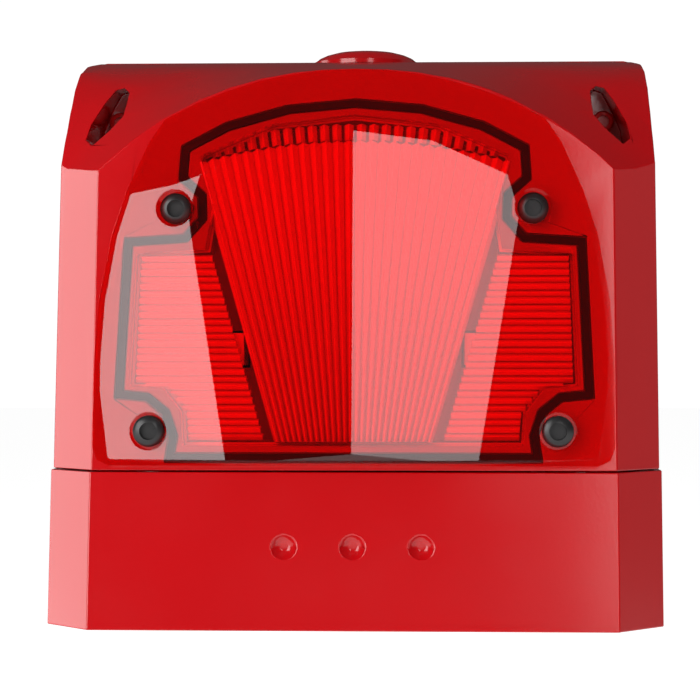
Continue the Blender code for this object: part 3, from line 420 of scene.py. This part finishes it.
# %% [markdown]
# ## Clear lens and flash tube
#
# The lens is clear red polycarbonate, about two millimetres thick. Light goes straight through
# such a thin wall, so it is a tinted see-through shader under a sheer gloss coat, and lamps light
# what stands behind it. The two are mixed by the angle of view, as clear plastic mirrors more when
# it is seen at a slant.

# %% Clear lens and flash tube
def see_through(name, tint, gloss_roughness, ior, streak):
    """Clear material of a thin wall: tinted, and mirrored more at a grazing angle."""
    finish = Finish(name)
    clear = finish.add("ShaderNodeBsdfTransparent", None, {"Color": (*tint, 1)})
    gloss = finish.add("ShaderNodeBsdfGlossy", None, {"Color": (1, 1, 1, 1)})
    wave = finish.noise(streak, 2.0)
    finish.feed(gloss.inputs["Roughness"], gloss_roughness)
    relief = finish.add("ShaderNodeBump", None, {"Height": wave, "Distance": 0.00001})
    normal = Amount(finish, relief.outputs["Normal"])
    finish.feed(gloss.inputs["Normal"], normal)
    facing = Amount(finish, finish.add("ShaderNodeLayerWeight").outputs["Facing"])
    straight_on = ((ior - 1) / (ior + 1)) ** 2
    mirrored = straight_on + (1 - straight_on) * facing.power(5)
    mixed = finish.add("ShaderNodeMixShader", None,
                       {"Fac": mirrored,
                        1: Amount(finish, clear.outputs[0]), 2: Amount(finish, gloss.outputs[0])})
    surface = finish.tree.nodes["Material Output"].inputs["Surface"]
    finish.feed(surface, Amount(finish, mixed.outputs[0]))
    finish.tree.nodes.remove(finish.shader)
    return finish.look


LENS = see_through("clear_red_lens", (0.985, 0.05, 0.06), 0.03, 1.5, 0.02)
GLASS = see_through("flash_tube_glass", (0.93, 0.95, 0.94), 0.02, 1.45, 0.003)
print("Lens and glass finishes made")

# %% [markdown]
# ## Edges that catch the light
#
# A moulded piece never has a perfectly sharp edge. The CAD shapes are right, so a piece is begun
# from a copy of its CAD shape: its loose triangles are joined and a narrow bevel rounds the edges.
# Weighted normals keep the flat faces flat between the bevels.

# %% Handing over a finished piece
SMOOTH_ANGLE = 38
FLAT = 0


def finished(piece, name, body, look, smooth=SMOOTH_ANGLE):
    """Shade, name and hand over a piece whose shape is done. A smooth angle of 0 leaves it flat."""
    activate(piece)
    bpy.ops.object.transform_apply(location=True, rotation=True, scale=True)
    if smooth:
        bpy.ops.object.shade_smooth_by_angle(angle=math.radians(smooth))
        weighted = piece.modifiers.new("weighted", "WEIGHTED_NORMAL")
        weighted.keep_sharp = True
        bpy.ops.object.modifier_apply(modifier=weighted.name)
    else:
        bpy.ops.object.shade_flat()
    piece.name = piece.data.name = name
    piece.data.materials.clear()
    piece.data.materials.append(look)
    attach(piece, body)
    return piece


print("Pieces are smoothed below", SMOOTH_ANGLE, "degrees")

# %% [markdown]
# ## A copy of a CAD shape
#
# The bevel's edges come from the copy's own creases. Where a flat area has a window in it, its
# triangles are kept, because a single face can't have a hole. The lens has no windows, so its flat
# areas are made single faces, and only its true creases are rounded.

# %% A copy of a CAD shape, with rounded edges
WELD = 0.000004
FLAT_WITHIN = math.radians(0.6)
EDGE_SEGMENTS = 2


def cad_copy(node, flat_areas=False):
    """A copy of a CAD node with its triangles joined, and flat areas made single faces if asked."""
    source = frame["nodes"][node]
    piece = source.copy()
    piece.data = source.data.copy()
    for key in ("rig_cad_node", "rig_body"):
        del piece[key]
    piece.parent = None
    bpy.context.scene.collection.objects.link(piece)
    activate(piece)
    if piece.data.has_custom_normals:
        bpy.ops.mesh.customdata_custom_splitnormals_clear()
    bpy.ops.object.mode_set(mode="EDIT")
    bpy.ops.mesh.select_all(action="SELECT")
    bpy.ops.mesh.remove_doubles(threshold=WELD)
    if flat_areas:
        bpy.ops.mesh.dissolve_limited(angle_limit=FLAT_WITHIN)
    bpy.ops.object.mode_set(mode="OBJECT")
    return piece


def rounded(piece, width, angle=30, clamped=False):
    """Round the edges of a piece with an applied bevel."""
    activate(piece)
    edge = piece.modifiers.new("edges", "BEVEL")
    edge.width = width
    edge.segments = EDGE_SEGMENTS
    edge.limit_method = "ANGLE"
    edge.angle_limit = math.radians(angle)
    edge.use_clamp_overlap = clamped
    edge.miter_outer = "MITER_ARC"
    bpy.ops.object.modifier_apply(modifier=edge.name)
    return piece


def softened(node, name, body, look, edge):
    """A CAD shape with its edges rounded, in that shape's place."""
    piece = finished(rounded(cad_copy(node), edge), name, body, look)
    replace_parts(piece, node)
    return piece


print("Edges are rounded in", EDGE_SEGMENTS, "steps")

# %% [markdown]
# ## Housing
#
# The hood, the lower section and the wall base are moulded in one colour. Each could be modelled
# again from a block, but the CAD shapes already hold the sloping roof, the chamfers, the pockets
# and the dimples exactly, so they are softened instead. A moulded edge of this size has a radius
# of about 0.3 mm.

# %% Housing
HOUSING_EDGE = 0.0003
for node, name, body in (("front_hood", "hood_shell", "front"),
                         ("horn_cover", "lower_shell", "front"),
                         ("base_shell", "wall_base", "base")):
    piece = softened(node, name, body, RED, HOUSING_EDGE)
    print(piece.name, len(piece.data.polygons), "faces")

# %% [markdown]
# ## Lens
#
# The lens has flat facets that meet at a ridge in the middle, and a narrow flange that the four
# screws hold down. Its facets are exact in the CAD shape, so the copy only gets softened edges.

# %% Lens
LENS_EDGE = 0.0004
LENS_CREASE = 4
lens = rounded(cad_copy("lens", flat_areas=True), LENS_EDGE, LENS_CREASE, clamped=True)
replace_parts(finished(lens, "clear_lens", "front", LENS, FLAT), "lens")
print("lens", len(lens.data.polygons), "faces")

# %% [markdown]
# ## Ribbed optics of the reflector
#
# Behind the lens stands a white moulded plate that spreads the flash. A fan of narrow prisms
# spreads out from a point below the lens, a wing of level prisms stands at each side, and upright
# ones run along the top. All of them start from one shape, a bar whose front is drawn together
# into a ridge. It is drawn flat in millimetres, with Y up the leaning face.

# %% One prism
RIB_BACK = -1.6
RIDGE_WIDTH = 0.08


def prism(length, width, height, back=RIB_BACK):
    """A bar along Y from the origin with a narrow ridge in front, and a width at foot and head."""
    foot, head = width
    deselect()
    bpy.ops.mesh.primitive_cube_add(size=1, location=(0, length / 2, 0), scale=(1, length, 1))
    bar = bpy.context.object
    bpy.ops.object.transform_apply(location=True, rotation=True, scale=True)
    bpy.ops.object.mode_set(mode="EDIT")
    bpy.ops.mesh.select_mode(type="VERT")
    for at_head in (False, True):
        for in_front in (False, True):
            bpy.ops.mesh.select_all(action="DESELECT")
            bpy.ops.object.mode_set(mode="OBJECT")
            for point in bar.data.vertices:
                end, side = point.co.y > length / 2, point.co.z > 0
                point.select = end == at_head and side == in_front
            bpy.ops.object.mode_set(mode="EDIT")
            wide = (head if at_head else foot) * (RIDGE_WIDTH if in_front else 1.0)
            bpy.ops.transform.resize(value=(wide, 1, 1), center_override=(0, 0, 0))
            rise = (back + height if in_front else back) - (0.5 if in_front else -0.5)
            bpy.ops.transform.translate(value=(0, 0, rise))
    bpy.ops.object.mode_set(mode="OBJECT")
    return bar


print("A ridge is", RIDGE_WIDTH, "of its prism's width")

# %% [markdown]
# ## Copies of a prism
#
# A row of prisms could come from an Array modifier, but the fan turns each one about a point and
# the wings change in length. So each copy gets a mesh of its own, which is moved or turned to its
# place. The copies are then joined and laid on the leaning face.

# %% Copying, joining, laying and trimming
def copied(piece, matrix):
    twin = piece.copy()
    twin.data = piece.data.copy()
    twin.data.transform(matrix)
    bpy.context.scene.collection.objects.link(twin)
    return twin


def joined(pieces):
    deselect()
    for piece in pieces:
        piece.select_set(True)
    bpy.context.view_layer.objects.active = pieces[0]
    bpy.ops.object.join()
    return bpy.context.object


def laid(piece):
    """Put a piece that was drawn flat, in millimetres, on the leaning face."""
    piece.data.transform(LEANING @ Matrix.Scale(MM, 4))
    return piece


def trimmed(piece, spot, normal):
    """Cut off what lies beyond a plane, and close the cut."""
    activate(piece)
    bpy.ops.object.mode_set(mode="EDIT")
    bpy.ops.mesh.select_all(action="SELECT")
    bpy.ops.mesh.bisect(plane_co=spot, plane_no=normal, use_fill=True, clear_outer=True)
    bpy.ops.object.mode_set(mode="OBJECT")
    return piece


def fanned(piece, count, half_angle):
    """Copies of a piece, joined in a fan about the fan's point. The piece itself goes."""
    step = 2 * half_angle / count
    ribs = []
    for number in range(count):
        turn = Matrix.Rotation(-half_angle + step * (number + 0.5), 4, "Z")
        ribs.append(copied(piece, Matrix.Translation((0, FAN_POINT, 0)) @ turn))
    bpy.data.objects.remove(piece)
    return joined(ribs)


FAN_POINT = along_face(-18.0)
print("The fan's point is", round(-FAN_POINT, 1), "mm below the bottom edge, along the face")

# %% [markdown]
# ## The fan
#
# The fan fills the middle of the beacon, and its prisms would meet in a point below the lens. They
# are made full length from that point, so that they widen evenly, and the foot of the whole fan is
# cut off in one straight line.

# %% The fan of prisms
FAN_FOOT = along_face(40.0)
FAN_RADIUS = along_face(105.6) - FAN_POINT
FAN_RIBS = 28
FAN_HALF_ANGLE = math.radians(16.2)
FAN_RIB_FOOT = 0.02
FAN_RIB_HEIGHT = 2.2
rib_head = 2 * FAN_RADIUS * math.tan(FAN_HALF_ANGLE / FAN_RIBS)
narrow = prism(FAN_RADIUS, (FAN_RIB_FOOT, rib_head), FAN_RIB_HEIGHT)
fan = trimmed(fanned(narrow, FAN_RIBS, FAN_HALF_ANGLE), (0, FAN_FOOT, 0), (0, -1, 0))
finished(laid(fan), "fan_of_prisms", "front", REFLECTOR, FLAT)
print("fan", FAN_RIBS, "prisms")

# %% [markdown]
# ## The wings
#
# The wings carry level prisms from the fan's slanting side out to a stepped outer edge, so every
# prism has its own length. A short table gives the outer edge at a few heights. Neighbours stand
# a little behind each other by turns, which gives the wings their fine lines.

# %% The wings
WING_UP = (40.6, 81.0)
WING_RIBS = 26
WING_OUTER = ((40.6, 35.6), (46.5, 36.2), (51.5, 40.4), (52.6, 47.4), (81.0, 46.6))
WING_GAP = 2.2
WING_RIB_SHARE = 0.96
WING_RIB_HEIGHT = 1.6
WING_BACK = -2.6
WING_STAGGER = 0.35


def between(table, up):
    """The value at a height, from a table of heights and values."""
    for (low, first), (high, second) in zip(table, table[1:]):
        if up <= high:
            return first + (second - first) * (up - low) / (high - low)
    return table[-1][1]


pitch = (WING_UP[1] - WING_UP[0]) / WING_RIBS
thickness = (pitch * WING_RIB_SHARE, pitch * WING_RIB_SHARE)
for side, name in ((-1, "left_wing_of_prisms"), (1, "right_wing_of_prisms")):
    bars = []
    for number in range(WING_RIBS):
        up = WING_UP[0] + pitch * (number + 0.5)
        inner = (along_face(up) - FAN_POINT) * math.tan(FAN_HALF_ANGLE) + WING_GAP
        outer = between(WING_OUTER, up)
        back = WING_BACK + WING_STAGGER * (number % 2)
        bar = prism(outer - inner, thickness, WING_RIB_HEIGHT, back)
        turn = Matrix.Rotation(math.radians(-90 * side), 4, "Z")
        bar.data.transform(Matrix.Translation((side * inner, along_face(up), 0)) @ turn)
        bars.append(bar)
    finished(laid(joined(bars)), name, "front", REFLECTOR, FLAT)
print("wings", WING_RIBS, "prisms each")

# %% [markdown]
# ## The top row
#
# A row of short upright prisms follows the arch above the fan. One is modelled at the fan's radius
# and copied about the fan's point, as the long ones were.

# %% The top row
TOP_RIBS = 24
TOP_HALF_ANGLE = math.radians(14.6)
TOP_RIB_LENGTH = 3.6
TOP_RIB_WIDTH = (2.0, 2.1)
TOP_RIB_HEIGHT = 1.4
TOP_BACK = -3.0
TOP_GAP = 0.7
short = prism(TOP_RIB_LENGTH, TOP_RIB_WIDTH, TOP_RIB_HEIGHT, TOP_BACK)
short.data.transform(Matrix.Translation((0, FAN_RADIUS + TOP_GAP, 0)))
top_row = fanned(short, TOP_RIBS, TOP_HALF_ANGLE)
finished(laid(top_row), "top_row_of_prisms", "front", REFLECTOR, FLAT)
print("top row", TOP_RIBS, "prisms")

# %% [markdown]
# ## Selecting by place
#
# By hand, a ring of points or a top face is picked with the mouse. Here the choice is a test on
# each point's or face's own place, made in object mode and then used in edit mode.

# %% Selecting by place
def on_ring(piece, test):
    """Select the points of a piece that pass a test, in edit mode."""
    activate(piece)
    bpy.ops.object.mode_set(mode="EDIT")
    bpy.ops.mesh.select_mode(type="VERT")
    bpy.ops.mesh.select_all(action="DESELECT")
    bpy.ops.object.mode_set(mode="OBJECT")
    for point in piece.data.vertices:
        point.select = test(point.co)
    bpy.ops.object.mode_set(mode="EDIT")


def top_face(piece):
    """Select the top face of a piece, in edit mode."""
    activate(piece)
    bpy.ops.object.mode_set(mode="EDIT")
    bpy.ops.mesh.select_mode(type="FACE")
    bpy.ops.mesh.select_all(action="DESELECT")
    bpy.ops.object.mode_set(mode="OBJECT")
    highest = max(face.center.z for face in piece.data.polygons)
    for face in piece.data.polygons:
        face.select = face.normal.z > 0.9 and face.center.z > highest - 1e-6
    bpy.ops.object.mode_set(mode="EDIT")


def cylinder(points, radius, length, low):
    """A cylinder along Z from a low end, with its place in its mesh."""
    bpy.ops.mesh.primitive_cylinder_add(vertices=points, radius=radius, depth=length,
                                        location=(0, 0, low + length / 2))
    bpy.ops.object.transform_apply(location=True)
    return bpy.context.object


print("Selections are made by place and normal")

# %% [markdown]
# ## Six-lobe screws
#
# The lens screws are black pan heads with a six-lobe socket, sunk in round wells. One function
# makes that head in any size: a cylinder whose top face is inset and drawn up into a low dome. An
# inner ring of its points is pulled in at every other pair to make the lobes, and sunk to make the
# socket. The sizes below are shares of the head's radius, or of its height where they go up or
# down.

# %% Six-lobe screw
LOBE_POINTS = 24
SHANK_POINTS = 16
HEAD_SIDE = 0.7
SOCKET = 0.52
DOME = ((0.14, 0.2), (0.82 - SOCKET, 0.1))
SOCKET_LIP = 0.04
SOCKET_RIM_HEIGHT = 0.9
SOCKET_DEPTH = 0.55
HOLLOW_TURNS = (20, 50)
HOLLOW_PULL = 0.74
SHANK_CHAMFER = 0.1


def lobed_screw(head_radius, head_height, shank_radius, shank_length):
    """A screw along Z, in millimetres: its head starts at 0 and its shank goes down from there."""
    deselect()
    screw = cylinder(LOBE_POINTS, head_radius, head_height * HEAD_SIDE, 0)
    top_face(screw)
    for inward, rise in DOME:
        bpy.ops.mesh.inset(thickness=head_radius * inward)
        bpy.ops.transform.translate(value=(0, 0, head_height * rise))
    bpy.ops.mesh.inset(thickness=head_radius * SOCKET_LIP)
    bpy.ops.object.mode_set(mode="OBJECT")
    reach = head_radius * (SOCKET + SOCKET_LIP / 2)
    rim = head_height * SOCKET_RIM_HEIGHT

    def hollow_of_lobe(spot):
        turn = math.degrees(math.atan2(spot.y, spot.x)) % 60
        between_lobes = HOLLOW_TURNS[0] < turn < HOLLOW_TURNS[1]
        return spot.z > rim and spot.xy.length < reach and between_lobes

    on_ring(screw, hollow_of_lobe)
    bpy.ops.transform.resize(value=(HOLLOW_PULL, HOLLOW_PULL, 1),
                             center_override=(0, 0, head_height))
    top_face(screw)
    down = (0, 0, -head_height * SOCKET_DEPTH)
    bpy.ops.mesh.extrude_region_move(TRANSFORM_OT_translate={"value": down})
    bpy.ops.object.mode_set(mode="OBJECT")
    shank = cylinder(SHANK_POINTS, shank_radius, shank_length, -shank_length)
    top_face(shank)
    bpy.ops.mesh.inset(thickness=shank_radius * SHANK_CHAMFER)
    bpy.ops.object.mode_set(mode="OBJECT")
    return joined([screw, shank])


print("A six-lobe head has", LOBE_POINTS, "points around")

# %% [markdown]
# ## Every screw in its place
#
# The siren is held together by pan heads in a few sizes and platings. Each takes its width, its
# length and its place from the CAD screw that it replaces, so the two can't drift apart. Only the
# height of its head is stated. The four screws of the terminal block stay as the CAD has them.

# %% Every screw in its place
SHANK_SHARE = 0.23
HEAD_SMOOTH_ANGLE = 32
LENS_HEAD, COVER_HEAD, SMALL_HEAD, DRIVER_HEAD = 2.3, 2.2, 1.6, 1.4


def axis_turn(axis):
    """The turn from Z to a CAD screw's axis: out from the wall, in towards it, or up."""
    return {"out": FACING_OUT, "in": Matrix.Rotation(math.radians(-90), 4, "X"),
            "up": Matrix.Identity(4)}[axis]


def screw_for(node, axis, head_height, body, look):
    """A detailed screw in the place of a CAD one, sized by its box."""
    low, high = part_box(node)
    middle = (low + high) / 2
    size = (high - low) / MM
    across, long = (size.x, size.z) if axis == "up" else (size.x, size.y)
    screw = lobed_screw(across / 2, head_height, across * SHANK_SHARE, long - head_height)
    if axis == "out":
        seat = Vector((middle.x, low.y + head_height * MM, middle.z))
    elif axis == "in":
        seat = Vector((middle.x, high.y - head_height * MM, middle.z))
    else:
        seat = Vector((middle.x, middle.y, high.z - head_height * MM))
    screw.data.transform(Matrix.Translation(seat) @ axis_turn(axis) @ Matrix.Scale(MM, 4))
    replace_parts(finished(screw, node + "_lobed", body, look, HEAD_SMOOTH_ANGLE), node)


for number in range(1, 5):
    screw_for(f"lens_screw_{number}", "out", LENS_HEAD, "front", BLACK_STEEL)
    screw_for(f"horn_cover_screw_{number}", "up", COVER_HEAD, "front", STEEL)
for number in (1, 2):
    screw_for(f"board_screw_{number}", "out", SMALL_HEAD, "base", STEEL)
    screw_for(f"beacon_board_screw_{number}", "in", SMALL_HEAD, "front", STEEL)
    screw_for(f"reflector_screw_{number}", "in", SMALL_HEAD, "front", STEEL)
    screw_for(f"horn_screw_{number}", "up", SMALL_HEAD, "front", STEEL)
for number in (1, 2, 3):
    screw_for(f"driver_screw_{number}", "up", DRIVER_HEAD, "front", STEEL)
for side in ("left", "right"):
    screw_for(f"cover_screw_{side}", "out", COVER_HEAD, f"{side}_screw", RED_SCREW)
print("screws made")

# %% [markdown]
# ## Entry plug
#
# The hole for the cable in the top is closed by a plug with a low domed head. The head could be a
# curve that is spun round, but it is easily drawn up from a disc: its top face is inset and raised
# six times, less and less, and each step is a share of the CAD head's own height.

# %% Entry plug
PLUG_POINTS, STEM_POINTS = 72, 48
PLUG_SEAT = 0.3
PLUG_RIM = 1.0
PLUG_TOP = ((0.55, 0.35), (1.0, 1.2), (1.6, 1.1), (2.4, 1.0), (3.0, 0.6), (2.6, 0.2))
PLUG_TOP_PARTS = 20
STEM_RADIUS, STEM_LENGTH, STEM_CHAMFER = 9.8, 9.0, 0.3
PLUG_SMOOTH_ANGLE = 40
low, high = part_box("blanking_plug")
middle = (low + high) / 2
deselect()
plug = cylinder(PLUG_POINTS, (high.x - low.x) / MM / 2, PLUG_RIM, PLUG_SEAT)
for inward, rise in PLUG_TOP:
    top_face(plug)
    bpy.ops.mesh.inset(thickness=inward)
    bpy.ops.transform.translate(value=(0, 0, rise * (high.z - low.z) / MM / PLUG_TOP_PARTS))
bpy.ops.object.mode_set(mode="OBJECT")
stem = cylinder(STEM_POINTS, STEM_RADIUS, STEM_LENGTH, PLUG_SEAT - STEM_LENGTH)
top_face(stem)
bpy.ops.mesh.inset(thickness=STEM_CHAMFER)
bpy.ops.object.mode_set(mode="OBJECT")
plug = joined([plug, stem])
on_top = Matrix.Translation((middle.x, middle.y, place(0, 0, BODY_HEIGHT).z))
plug.data.transform(on_top @ Matrix.Scale(MM, 4))
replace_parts(finished(plug, "domed_plug", "plug", RED, PLUG_SMOOTH_ANGLE),
            "blanking_plug")
plug_top = max(point.co.z for point in plug.data.vertices)
print("plug top in mm:", round(plug_top / MM, 2), "CAD", round(high.z / MM, 2))

# %% [markdown]
# ## Small parts on the boards and the horn
#
# Terminal block, switches, sockets and the like are small moulded blocks with sharp-looking but
# slightly worn edges. Their CAD shapes are right, so each gets a bevel of about a tenth of a
# millimetre.

# %% Small CAD shapes with softened edges
SMALL_EDGE = 0.00012
SOFTENED = {
    "terminal_block": ("base", "plastic_green", GREEN),
    "dip_switch_body": ("base", "plastic_blue", BLUE),
    "trimmer_body": ("base", "plastic_blue", BLUE),
    "lead_socket": ("base", "plastic_white", WHITE),
    "trigger_transformer": ("front", "film_amber", FILM),
    "outlet_grille": ("front", "plastic_black", BLACK),
    "tube_holder_left": ("front", "plastic_white", WHITE),
    "tube_holder_right": ("front", "plastic_white", WHITE),
    "trimmer_rotor": ("volume_rotor", "plastic_white", WHITE),
    "driver_magnet": ("front", "plated_steel", STEEL),
}
for node, (body, slot, look) in SOFTENED.items():
    softened(node, node + "_soft", body, look, SMALL_EDGE)
print(len(SOFTENED), "small shapes softened")

# %% [markdown]
# ## Finishes of the CAD pieces
#
# The boards, seals, capacitors, flash tube and the horn's own parts are plain shapes that need no
# more detail at this size, so they stay as the CAD has them and only get a finish, by the name of
# the slot that their material has there.

# %% Remaining CAD pieces get their finishes
LOOKS = {
    "housing_red": RED, "rubber_black": RUBBER, "plated_steel": STEEL, "screw_black": BLACK_STEEL,
    "screw_red": RED_SCREW, "board_green": BOARD, "plastic_green": GREEN, "plastic_blue": BLUE,
    "plastic_white": WHITE, "plastic_black": BLACK, "reflector_white": REFLECTOR,
    "tube_glass": GLASS, "coil_copper": COPPER, "film_amber": FILM, "lens_red": LENS,
}
for part in frame["record"]["subparts"]:
    source = frame["nodes"][part["node"]]
    source.data.materials.clear()
    source.data.materials.append(LOOKS[part["material_slot"]])
print("finishes given to", len(frame["nodes"]), "CAD pieces")

# %% [markdown]
# ## Size
#
# The finished siren has to be as big as the CAD model, so both boxes are written down side by
# side.

new_low, new_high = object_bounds()
new_sides = [round((high - low) * 1000, 1) for low, high in zip(new_low, new_high)]
print("finished box in mm:", new_sides)
